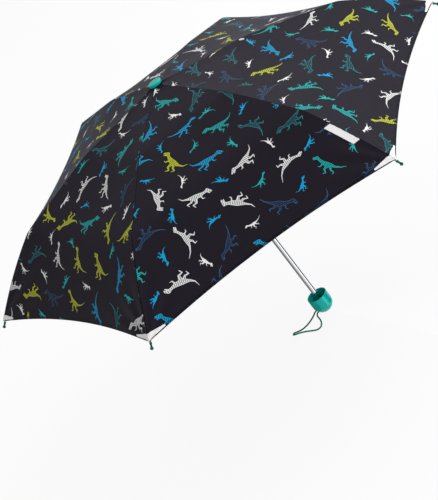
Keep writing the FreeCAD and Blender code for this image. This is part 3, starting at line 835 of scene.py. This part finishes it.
@dataclass
class Canopy:
    """Six gores of printed cloth, each cut halfway between its ribs and at their hinges.

    A place on the cloth is (gore, across, along): across runs from -1 at the gore's first rib
    to 1 at its second, and along is the length from the hole at the top.
    """

    thickness: float = 0.00035
    scallop: float = 0.0165
    sag: float = 0.017
    columns: int = 26
    rows: int = 36
    crowding: float = 1.35
    ahead: float = 0.002
    probe_across: float = 0.004
    probe_along: float = 0.0005
    elbow_slope: float = math.radians(13)
    knee_slope: float = math.radians(25)
    mean_slope: float = math.radians(20)
    rounds: int = 12
    turned: tuple = (0.9, 0.35)
    apart: tuple = (1.37, 0.83, 5.0)
    least_area: float = 0.31
    creases: Creases = Creases()
    keep: dict = field(default_factory=lambda: {
        Section.INNER: 0.05, Section.MIDDLE: 0.035, Section.OUTER: 0.04})
    lean: dict = field(default_factory=lambda: {
        Section.INNER: 0.05, Section.MIDDLE: 0.09, Section.OUTER: 0.0})
    line: RibLine = field(default_factory=RibLine)

    def half_width(self, along: np.ndarray) -> np.ndarray:
        """Half of the chord between two ribs."""
        radius = np.interp(along, self.line.samples, self.line.close_line[:, 0])
        return radius * math.sin(HALF_STEP)

    def place(self, gore: int, across: np.ndarray, along: np.ndarray) -> np.ndarray:
        """Places of the cloth's middle surface.

        Args:
            gore: number of the gore, and of its first rib.
            across: from -1 to 1 between its ribs.
            along: lengths from the hole.

        Returns:
            Points, one row for each place.
        """
        slack = 1 - across ** 2
        radius, height = self.line.at(along, slack)
        later_radius, later_height = self.line.at(along + self.ahead, slack)
        half = self.half_width(along)
        out = (later_radius - radius) * math.cos(HALF_STEP)
        down = later_height - height
        size = np.hypot(out, down)
        folds = self.creases.depth(gore, across, along, half, self.line.total)
        depth = self.sag * 2 * half * slack + folds
        reach = radius * math.cos(HALF_STEP) + depth * down / size
        height = height - depth * out / size
        turn = gore * STEP + HALF_STEP
        aside = across * radius * math.sin(HALF_STEP)
        x = reach * math.cos(turn) - aside * math.sin(turn)
        y = reach * math.sin(turn) + aside * math.cos(turn)
        return np.stack([x, y, height], -1)

    def normals(self, gore: int, across: np.ndarray, along: np.ndarray) -> np.ndarray:
        """Outward unit normals of the cloth."""
        side, step = self.probe_across, self.probe_along
        low, high = np.maximum(across - side, -1), np.minimum(across + side, 1)
        over = self.place(gore, high, along) - self.place(gore, low, along)
        down = self.place(gore, across, along + step) - self.place(gore, across, along - step)
        found = np.cross(down, over)
        return found / np.linalg.norm(found, axis=-1, keepdims=True)

    def hem(self, share: np.ndarray) -> np.ndarray:
        """Length along at the hem, against the share of the way from a rib to halfway."""
        return self.line.total - self.scallop * (1 - (1 - share) ** 2)

    def cut(self, hinge: float, slope: float, share: np.ndarray) -> np.ndarray:
        """Length along of the cut that leaves the rib squarely at a hinge.

        Args:
            hinge: the hinge's length along the rib.
            slope: the rib's slope there, in radians.
            share: of the way from the rib to halfway between two.

        Returns:
            Lengths along.
        """
        along = np.full_like(share, hinge)
        for _ in range(self.rounds):
            along = hinge + math.sin(HALF_STEP) * math.cos(slope) * self.half_width(along) * share
        return along

    def limits(self, section: Section, share: np.ndarray) -> tuple:
        """Where a section of cloth starts and ends along the rib, against the share across."""
        elbow = self.cut(self.line.at_elbow, self.elbow_slope, share)
        knee = self.cut(self.line.at_knee, self.knee_slope, share)
        if section is Section.INNER:
            return np.zeros_like(share), elbow
        if section is Section.MIDDLE:
            return elbow, knee
        return knee, self.hem(share)

    def gore_of(self, rib: int, side: Side) -> int:
        """The gore on this side of a rib."""
        return rib if side is Side.AFTER else (rib - 1) % RIBS

    def across_of(self, share: np.ndarray, side: Side) -> np.ndarray:
        """Place across the gore, from the share of the way from the rib to halfway."""
        return (share - 1) if side is Side.AFTER else (1 - share)

    def shell(self, name: str, rib: int, side: Side, share: np.ndarray, along: np.ndarray,
              rise: float, thickness: float, edges: Optional[Callable] = None) -> bpy.types.Object:
        """A closed sheet over a grid of places on one half gore.

        Args:
            name: the piece's name.
            rib: the rib's number.
            side: which side of it.
            share: shares of the way from the rib to halfway, as a grid.
            along: lengths along the rib, as a grid.
            rise: how far the sheet's middle lies above the cloth's middle.
            thickness: the sheet's thickness.
            edges: gives the sheet's own edge distances, where they aren't the cloth's.

        Returns:
            The new mesh object, whose second material is for the underside.
        """
        gore = self.gore_of(rib, side)
        across = self.across_of(share, side)
        middle = self.place(gore, across, along)
        facing = self.normals(gore, across, along)
        top = middle + facing * (rise + thickness / 2)
        bottom = middle + facing * (rise - thickness / 2)
        rows, columns = share.shape
        count = rows * columns
        number = np.arange(count).reshape(rows, columns)
        turned = side is Side.BEFORE
        quads = self.quads(number, turned)
        under = self.quads(number + count, not turned)
        rim = self.rim(number, count, turned)
        faces = np.concatenate((quads, under, rim))
        mesh = bpy.data.meshes.new(name)
        mesh.from_pydata(np.concatenate((top.reshape(-1, 3), bottom.reshape(-1, 3))).tolist(),
                         [], faces.tolist())
        corners = faces.ravel()
        spot = corners % count
        self.add_layer(mesh, "flat", self.flat_places(gore, across, along).reshape(-1, 2)[spot])
        around = edges(share, along) if edges else self.edge_places(share, along)
        self.add_layer(mesh, "edges", around.reshape(-1, 2)[spot])
        pointing = facing.reshape(-1, 3)[spot] * np.where(corners < count, 1.0, -1.0)[:, None]
        index = np.zeros(len(faces), np.int32)
        index[len(quads):len(quads) + len(under)] = 1
        mesh.polygons.foreach_set("material_index", index)
        mesh.polygons.foreach_set("use_smooth", np.ones(len(faces), bool))
        first_rim = (len(quads) + len(under)) * 4
        pointing[first_rim:] = self.flat_normals(mesh, len(quads) + len(under))
        mesh.normals_split_custom_set(pointing.tolist())
        mesh.update()
        piece = bpy.data.objects.new(name, mesh)
        bpy.context.scene.collection.objects.link(piece)
        return piece

    @staticmethod
    def flat_normals(mesh: bpy.types.Mesh, first: int) -> np.ndarray:
        """The faces' own normals from this face on, once for each corner."""
        return np.array([tuple(face.normal) for face in mesh.polygons[first:]
                         for _ in face.vertices])

    @staticmethod
    def quads(number: np.ndarray, turned: bool) -> np.ndarray:
        """Faces of a grid of vertices, turned over if asked."""
        corners = [number[:-1, :-1], number[1:, :-1], number[1:, 1:], number[:-1, 1:]]
        faces = np.stack([corner.ravel() for corner in corners], 1)
        return faces[:, ::-1] if turned else faces

    @staticmethod
    def rim(number: np.ndarray, count: int, turned: bool) -> np.ndarray:
        """Faces round the edge, between the upper and the lower grid."""
        loop = np.concatenate((number[0, :-1], number[:-1, -1],
                               number[-1, :0:-1], number[:0:-1, 0]))
        after = np.roll(loop, -1)
        faces = np.stack([loop, after, after + count, loop + count], 1)
        return faces[:, ::-1] if turned else faces

    @staticmethod
    def add_layer(mesh: bpy.types.Mesh, name: str, values: np.ndarray) -> None:
        """A UV layer of one value for each face corner."""
        mesh.uv_layers.new(name=name).data.foreach_set("uv", values.astype(np.float32).ravel())

    def flat_places(self, gore: int, across: np.ndarray, along: np.ndarray) -> np.ndarray:
        """The gore's flat pattern, turned and moved so that no two gores are cut alike."""
        steps = np.diff(self.line.close_line, axis=0)
        middle = np.hypot(steps[:, 0] * math.cos(HALF_STEP), steps[:, 1])
        lengths = np.concatenate(([0], np.cumsum(middle)))
        x = across * self.half_width(along)
        y = np.interp(along, self.line.samples, lengths)
        turn = self.turned[0] * gore + self.turned[1]
        step_x, step_y, start = self.apart
        return np.stack([x * math.cos(turn) - y * math.sin(turn) + step_x * gore + start,
                         x * math.sin(turn) + y * math.cos(turn) + step_y * gore + start], -1)

    def edge_places(self, share: np.ndarray, along: np.ndarray) -> np.ndarray:
        """Distances from the seam and from the hem."""
        return np.stack([share * self.half_width(along), self.hem(share) - along], -1)

    def grid(self, section: Section) -> tuple:
        """Shares across and lengths along of a section, closer together beside the seam."""
        even = np.linspace(0, 1, self.columns)
        share = even ** self.crowding
        start, end = self.limits(section, share)
        rows = np.linspace(0, 1, self.rows)[:, None]
        shares = np.broadcast_to(share, (self.rows, self.columns)).copy()
        return shares, start + (end - start) * rows

    def flat_size(self, share: np.ndarray, along: np.ndarray) -> tuple:
        """Width, length and area of a half gore's section, as it is cut.

        Args:
            share: its grid of shares.
            along: its grid of lengths.

        Returns:
            The width, the length and the area.
        """
        x = share * self.half_width(along)
        slant = math.sin(HALF_STEP) * math.cos(self.mean_slope)
        square = x * math.sqrt(1 - slant ** 2)
        up = along - x * slant
        width, length = np.ptp(square), np.ptp(up)
        step_x, step_y = np.gradient(square), np.gradient(up)
        cells = np.abs(step_x[1] * step_y[0] - step_x[0] * step_y[1])
        cells[0] /= 2
        cells[-1] /= 2
        cells[:, 0] /= 2
        cells[:, -1] /= 2
        return float(width), float(length), float(cells.sum())

    def build(self, printed: bpy.types.Material, lining: bpy.types.Material) -> None:
        """Makes all the cloth and settles what each piece rides on.

        Args:
            printed: the outside's material.
            lining: the underside's material.
        """
        for section in Section:
            share, along = self.grid(section)
            width, length, area = self.flat_size(share, along)
            area = min(max(area, self.least_area * width * length), width * length)
            for rib in range(RIBS):
                for side in Side:
                    name = f"cloth_{section.value}_{rib}_{side.name.lower()}"
                    piece = self.shell(name, rib, side, share, along, 0.0, self.thickness)
                    piece.data.materials.append(printed)
                    piece.data.materials.append(lining)
                    self.fasten(piece, rib, side, section, "canopy_cloth")
                    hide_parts("canopy")
            log.info("%s cloth: 12 half gores of %.0f x %.0f mm, %.4f square metres each",
                     section.value, width * 1000, length * 1000, area)

    def fasten(self, piece: bpy.types.Object, rib: int, side: Side, section: Section,
               slot: str) -> None:
        """Makes a piece of cloth ride on its rib, on a mesh of its own."""
        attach(piece, f"{section.value}_rib_{rib}")
        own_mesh(piece)


@dataclass
class CornerPatches:
    """White pockets of tape that hold the rib tips at the canopy's corners."""

    canopy: Canopy
    along_hem: float = 0.032
    along_rib: float = 0.0085
    point: float = 0.0030
    hollow: float = 1.25
    hem_line: float = 0.0020
    corner_line: float = 0.0003
    line_ends: float = 4
    clear: float = 0.00005
    cut_share: float = 0.58
    thickness: float = 0.0005
    columns: int = 12
    rows: int = 8

    def build(self, tape: bpy.types.Material) -> None:
        """Sews one half patch on each side of every rib."""
        canopy = self.canopy
        even = np.linspace(0, 1, self.columns)
        share = even * self.along_hem / float(canopy.half_width(np.array(canopy.line.total)))
        opened = np.minimum(even * self.line_ends, 1)
        end = canopy.hem(share) - self.corner_line - (self.hem_line - self.corner_line) * opened
        start = end - self.point - self.along_rib * (1 - even) ** self.hollow
        rows = np.linspace(0, 1, self.rows)[:, None]
        grid = np.broadcast_to(share, (self.rows, self.columns)).copy()
        rise = (canopy.thickness + self.thickness) / 2 + self.clear
        for rib in range(RIBS):
            for side in Side:
                name = f"corner_patch_{rib}_{side.name.lower()}"
                piece = canopy.shell(name, rib, side, grid, start + (end - start) * rows,
                                     rise, self.thickness)
                piece.data.materials.append(tape)
                piece.data.materials.append(tape)
                canopy.fasten(piece, rib, side, Section.OUTER, "tab_cloth")
        log.info("corner patches: 12")


@dataclass
class SeamTab:
    """Bare woven tab in the seam over rib 5."""

    canopy: Canopy
    rib: int = 5
    width: float = 0.0115
    from_seam: float = 0.0006
    span: tuple = (0.31, 0.625)
    rise: float = 0.0011
    thickness: float = 0.0006
    columns: int = 12
    rows: int = 30

    def build(self, tape: bpy.types.Material) -> None:
        """Sews the tab flat on the gore before the rib, lifted a little off the cloth."""
        line = self.canopy.line
        low, high = (line.at_knee + (line.total - line.at_knee) * share for share in self.span)
        along = np.broadcast_to(np.linspace(low, high, self.rows)[:, None],
                                (self.rows, self.columns)).copy()
        out = np.linspace(self.from_seam, self.from_seam + self.width, self.columns)
        share = out / self.canopy.half_width(along)

        def from_edge(_: np.ndarray, lengths: np.ndarray) -> np.ndarray:
            """Distance from the tab's nearest edge."""
            across = np.minimum(out - self.from_seam, self.from_seam + self.width - out)
            end = np.minimum(lengths - low, high - lengths)
            nearest = np.minimum(np.broadcast_to(across, lengths.shape), end)
            return np.stack([nearest, nearest], -1)

        piece = self.canopy.shell("woven_tab", self.rib, Side.BEFORE, share, along,
                                  self.rise, self.thickness, from_edge)
        piece.data.materials.append(tape)
        piece.data.materials.append(tape)
        self.canopy.fasten(piece, self.rib, Side.BEFORE, Section.OUTER, "tab_cloth")
        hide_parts("closure_tab")
        log.info("woven tab: %.0f x %.1f mm", (high - low) * 1000, self.width * 1000)


# ---------------------------------------------------------------- thread ties

@dataclass
class RibTies:
    """Bands of sewing thread, wrapped round the ribs and through the cloth above them."""

    line: RibLine
    half_width: float = 0.00103
    low: float = -0.0014
    high: float = 0.0027
    corner: float = 0.0004
    thread: float = 0.0003
    turns: int = 5
    swell: float = 1.05
    wall: float = 0.0002
    rounded: float = math.radians(50)
    middle_plane: float = 0.0022
    shares: dict = field(default_factory=lambda: {
        Section.INNER: (0.62, 0.9), Section.MIDDLE: (0.5,), Section.OUTER: (0.3, 0.62)})

    def band(self) -> bpy.types.Object:
        """Models one band at the origin, with the rib's length along Z."""
        bpy.ops.object.select_all(action="DESELECT")
        bpy.ops.mesh.primitive_plane_add(size=1.0, location=(0, 0, 0))
        band = bpy.context.object
        bpy.ops.object.mode_set(mode="EDIT")
        bpy.ops.transform.resize(value=(2 * self.half_width, self.high - self.low, 1))
        bpy.ops.transform.translate(
            value=(0, (self.high + self.low) / 2, -self.turns * self.thread))
        bpy.ops.mesh.bevel(offset=self.corner, segments=3, affect="VERTICES")
        bpy.ops.mesh.delete(type="ONLY_FACE")
        bpy.ops.mesh.select_all(action="SELECT")
        for step in range(2 * self.turns):
            size = self.swell if step % 2 == 0 else 1 / self.swell
            bpy.ops.mesh.extrude_edges_move(
                TRANSFORM_OT_translate={"value": (0, 0, self.thread)})
            bpy.ops.transform.resize(value=(size, size, 1))
        bpy.ops.mesh.select_all(action="SELECT")
        bpy.ops.mesh.normals_make_consistent(inside=False)
        bpy.ops.object.mode_set(mode="OBJECT")
        wall = band.modifiers.new("wall", "SOLIDIFY")
        wall.thickness = self.wall
        wall.offset = 0.0
        bpy.ops.object.modifier_apply(modifier="wall")
        bpy.ops.object.shade_smooth_by_angle(angle=self.rounded)
        return band

    def spot(self, section: Section, share: float) -> tuple:
        """Where a band goes over rib 0.

        Args:
            section: which length of the rib.
            share: the place along it.

        Returns:
            The point on the rib's line, and the rib's direction there.
        """
        if section is Section.OUTER:
            arc = self.line.outer_arc()
            place = int(share * (len(arc) - 1))
            way = arc[place + 1] - arc[place]
            point = arc[place] - self.line.normal(way) * self.line.lift
        else:
            ends = (self.line.crown, self.line.elbow, self.line.knee)
            first = 0 if section is Section.INNER else 1
            way = ends[first + 1] - ends[first]
            point = ends[first] + way * share
        aside = self.middle_plane if section is Section.MIDDLE else 0.0
        return Vector((point[0], aside, point[1])), Vector((way[0], 0, way[1])).normalized()

    def build(self, thread: bpy.types.Material) -> None:
        """Ties the cloth to every rib."""
        model = self.band()
        for section, shares in self.shares.items():
            for number, share in enumerate(shares):
                point, way = self.spot(section, share)
                across = Vector((0, 1, 0))
                turn = Matrix((across, across.cross(way) * -1, way)).transposed().to_4x4()
                for rib in range(RIBS):
                    around = Matrix.Rotation(rib * STEP, 4, "Z")
                    name = f"thread_tie_{section.value}_{number}_{rib}"
                    piece = bpy.data.objects.new(name, model.data.copy())
                    bpy.context.scene.collection.objects.link(piece)
                    piece.data.transform(around @ Matrix.Translation(point) @ turn)
                    piece.data.materials.clear()
                    piece.data.materials.append(thread)
                    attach(piece, f"{section.value}_rib_{rib}")
        bpy.data.objects.remove(model)
        log.info("thread ties: %d", sum(len(shares) for shares in self.shares.values()) * RIBS)


# ---------------------------------------------------------------- wrist cord

@dataclass
class WristCord:
    """The loop of braided cord under the handle, lying where the umbrella stands."""

    radius: float = 0.0014
    length: float = 0.1785
    smoothness: tuple = (5, 10)
    route: tuple = (
        (-0.0129, 0.0035, 0.0090), (-0.0196, 0.0052, 0.0086), (-0.0266, 0.0046, 0.0034),
        (-0.0355, 0.0002, 0.00145), (-0.0465, -0.0066, 0.00145), (-0.0585, -0.0084, 0.00145),
        (-0.0675, -0.0046, 0.00145), (-0.0736, -0.0010, 0.00145), (-0.0772, -0.0049, 0.00145),
        (-0.0725, -0.0084, 0.00145), (-0.0645, -0.0126, 0.00145), (-0.0530, -0.0224, 0.00145),
        (-0.0430, -0.0335, 0.00145), (-0.0346, -0.0416, 0.00145), (-0.0260, -0.0404, 0.00145),
        (-0.0216, -0.0290, 0.00145), (-0.0206, -0.0175, 0.0018), (-0.0218, -0.0090, 0.0062),
        (-0.0182, -0.0049, 0.0090), (-0.0129, -0.0035, 0.0090))

    def build(self, braid: bpy.types.Material) -> None:
        """Lays the cord along its route, from one hole of the handle back to the other."""
        curve = bpy.data.curves.new("wrist_cord", "CURVE")
        curve.dimensions = "3D"
        curve.bevel_depth = self.radius
        curve.bevel_resolution, curve.resolution_u = self.smoothness
        curve.use_fill_caps = True
        spline = curve.splines.new("NURBS")
        spline.points.add(len(self.route) - 1)
        for point, place in zip(spline.points, self.route):
            point.co = (*place, 1.0)
        spline.order_u = 3
        spline.use_endpoint_u = True
        curve.materials.append(braid)
        piece = bpy.data.objects.new("wrist_cord", curve)
        bpy.context.scene.collection.objects.link(piece)
        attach(piece, "handle")
        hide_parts("strap_cord")
        log.info("wrist cord: %.0f mm", self.length * 1000)


# ---------------------------------------------------------------- hard parts

@dataclass
class HardParts:
    """The finishes of everything that is moulded, drawn or pressed."""

    teal: PlasticFinish = PlasticFinish(shade(0, 186, 174), 0.16, 0.0, 1.0, (0.2, 1.0, 0.96, 1))
    cap_teal: PlasticFinish = PlasticFinish(shade(0, 178, 166), 0.2, 0.0, 0.6, (0.12, 1.0, 0.95, 1))
    tip_teal: PlasticFinish = PlasticFinish(shade(0, 82, 74), 0.24, 0.0, 0.5, (0.15, 1.0, 0.9, 1))
    black: PlasticFinish = PlasticFinish(shade(30, 30, 32), 0.32, 0.05)
    white: PlasticFinish = PlasticFinish(shade(222, 224, 222), 0.28, 0.1)
    chrome: MetalFinish = MetalFinish(shade(216, 217, 220), 0.10)
    zinc: MetalFinish = MetalFinish(shade(168, 170, 174), 0.30)
    wire: MetalFinish = MetalFinish(shade(150, 152, 156), 0.24)

    def dress(self) -> None:
        """Gives each carried-over part its finish."""
        plan = {
            self.teal.make("teal_handle"): ("handle_cup",),
            self.cap_teal.make("teal_cap"): ("ferrule_cap",),
            self.tip_teal.make("teal_tip"): ("rib_tip",),
            self.black.make("black_moulding"): ("crown", "runner", "handle_bush"),
            self.white.make("grey_button"): ("release_button",),
            self.chrome.make("chrome_tube"): ("lower_tube", "middle_tube", "upper_tube"),
            self.zinc.make("zinc_rib"): ("inner_rib", "middle_rib", "outer_rib", "stretcher"),
            self.wire.make("steel_wire"): ("tie_wire", "crown_wire", "rib_rivets", "runner_pins",
                                           "handle_pin"),
        }
        for material, starts in plan.items():
            for name, node in frame["nodes"].items():
                if name.startswith(starts):
                    self.assign(node, material)
        log.info("finishes: %d on the hard parts", len(plan))

    @staticmethod
    def assign(node: bpy.types.Object, material: bpy.types.Material) -> None:
        """Puts a material in all of a node's slots."""
        if not node.material_slots:
            node.data.materials.append(material)
        for slot in node.material_slots:
            slot.material = material


# ---------------------------------------------------------------- studio

@dataclass
class Studio:
    """White floor, soft lamps and the camera."""

    place: Vector = Vector((0.08526, -2.54553, 1.44049))
    look: Vector = Vector((-0.061092, 0.900434, -0.430681))
    roll: float = math.radians(-38.2)
    lens: float = 117.07
    sensor: float = 36.0
    bands: tuple = (("dark_band", (-34, 7), 0.0), ("edge_band", (92, 160), 0.08),
                    ("grey_band", (160, 228), 0.28), ("light_band", (-66, -46), 2.6))
    reach: tuple = (0.03, 0.9)
    band_height: float = 0.0004
    band_steps: int = 8
    floor_half: float = 14.0
    floor_colour: tuple = (0.93, 0.93, 0.93, 1.0)
    floor_glow: float = 0.9
    surroundings: float = 0.48
    aim: Vector = Vector((0, 0, 0.4))
    farthest: float = 60.0
    lamps: tuple = (("key", (2.3, 0.1, 2.2), 2.2, 56.0), ("fill", (1.3, -2.6, 0.7), 1.8, 27.0),
                    ("back", (0.9, 2.3, 2.0), 2.0, 14.0))

    def build(self) -> None:
        """Sets the stage."""
        self.floor()
        self.world()
        for lamp in self.lamps:
            self.lamp(*lamp)
        for name, (start, end), light in self.bands:
            self.wedge(name, math.radians(start), math.radians(end), light)
        self.camera()
        bpy.context.scene.view_settings.view_transform = "Standard"
        log.info("studio: %d lamps and %d floor bands", len(self.lamps), len(self.bands))

    def floor(self) -> None:
        """A large pale sheet under the object, white to the camera but for the shadow."""
        mesh = bpy.data.meshes.new("floor")
        size = self.floor_half
        mesh.from_pydata([(-size, -size, 0), (size, -size, 0), (size, size, 0), (-size, size, 0)],
                         [], [(0, 1, 2, 3)])
        floor = bpy.data.objects.new("floor", mesh)
        bpy.context.scene.collection.objects.link(floor)
        graph = Graph("floor_white")
        graph.set(Base_Color=self.floor_colour, Roughness=0.9)
        glow = graph.node("Emission", sockets={"Color": (1, 1, 1, 1), "Strength": 1.0})
        path = graph.node("LightPath")
        seen = Value(graph, path.outputs["Is Camera Ray"]).most(
            Value(graph, path.outputs["Is Glossy Ray"])).most(
            Value(graph, path.outputs["Is Transmission Ray"]))
        mixed = graph.node("MixShader", sockets={
            0: seen * self.floor_glow, 1: graph.shader.outputs[0], 2: glow.outputs[0]})
        graph.feed(graph.tree.nodes["Material Output"].inputs["Surface"], mixed.outputs[0])
        mesh.materials.append(graph.material)

    def wedge(self, name: str, start: float, end: float, light: float) -> None:
        """A sector of the floor that only shows as a band in polished surfaces.

        Args:
            name: its name.
            start: azimuth of its first side, in radians.
            end: azimuth of its second side.
            light: how bright it looks, where 1 is white.
        """
        steps = self.band_steps
        turns = [start + (end - start) * step / steps for step in range(steps + 1)]
        places = [direction(turn) * length + Vector((0, 0, self.band_height))
                  for length in self.reach for turn in turns]
        faces = [(step, step + steps + 1, step + steps + 2, step + 1) for step in range(steps)]
        mesh = bpy.data.meshes.new(name)
        mesh.from_pydata(places, [], faces)
        card = bpy.data.objects.new(name, mesh)
        bpy.context.scene.collection.objects.link(card)
        graph = Graph(name)
        glow = graph.node("Emission", sockets={"Color": (light, light, light, 1), "Strength": 1.0})
        graph.feed(graph.tree.nodes["Material Output"].inputs["Surface"], glow.outputs[0])
        mesh.materials.append(graph.material)
        card.visible_camera = card.visible_diffuse = card.visible_shadow = False
        card.visible_transmission = card.visible_volume_scatter = False

    def world(self) -> None:
        """Even white surroundings."""
        world = bpy.data.worlds.new("studio")
        world.use_nodes = True
        bpy.context.scene.world = world
        tree = world.node_tree
        back = tree.nodes["Background"]
        path = tree.nodes.new("ShaderNodeLightPath")
        strength = tree.nodes.new("ShaderNodeMath")
        strength.operation = "MULTIPLY_ADD"
        tree.links.new(path.outputs["Is Camera Ray"], strength.inputs[0])
        strength.inputs[1].default_value = 1 - self.surroundings
        strength.inputs[2].default_value = self.surroundings
        tree.links.new(strength.outputs[0], back.inputs["Strength"])
        back.inputs["Color"].default_value = (1, 1, 1, 1)

    def lamp(self, name: str, place: tuple, size: float, power: float) -> None:
        """A large square lamp that faces the object.

        Args:
            name: the lamp's name.
            place: where it hangs.
            size: its side.
            power: in watts.
        """
        data = bpy.data.lights.new(name, "AREA")
        data.size = size
        data.energy = power
        lamp = bpy.data.objects.new(name, data)
        lamp.location = place
        lamp.rotation_euler = (self.aim - Vector(place)).to_track_quat("-Z", "Y").to_euler()
        bpy.context.scene.collection.objects.link(lamp)

    def camera(self) -> None:
        """A long lens from the front and a little above, turned about its own line."""
        data = bpy.data.cameras.new("camera")
        data.sensor_fit = "VERTICAL"
        data.sensor_height = self.sensor
        data.sensor_width = self.sensor
        data.lens = self.lens
        data.clip_end = self.farthest
        camera = bpy.data.objects.new("camera", data)
        camera.location = self.place
        camera.rotation_mode = "QUATERNION"
        level = self.look.to_track_quat("-Z", "Y")
        camera.rotation_quaternion = level @ Quaternion((0, 0, 1), self.roll)
        bpy.context.scene.collection.objects.link(camera)
        bpy.context.scene.camera = camera


def main() -> None:
    """Builds the sub-assemblies in order."""
    logging.basicConfig(level=logging.INFO, format="%(name)s: %(message)s")
    bpy.ops.object.select_all(action="DESELECT")
    WristCord().build(CordFinish().make("teal_cord"))
    canopy = Canopy()
    cloth = ClothFinish()
    canopy.build(cloth.make("printed_cloth", True), cloth.make("plain_cloth", False))
    tape = TapeFinish().make("white_tape")
    CornerPatches(canopy).build(tape)
    SeamTab(canopy).build(tape)
    RibTies(canopy.line).build(ThreadFinish().make("black_thread"))
    HardParts().dress()
    Studio().build()


if __name__ == "__main__":
    main()
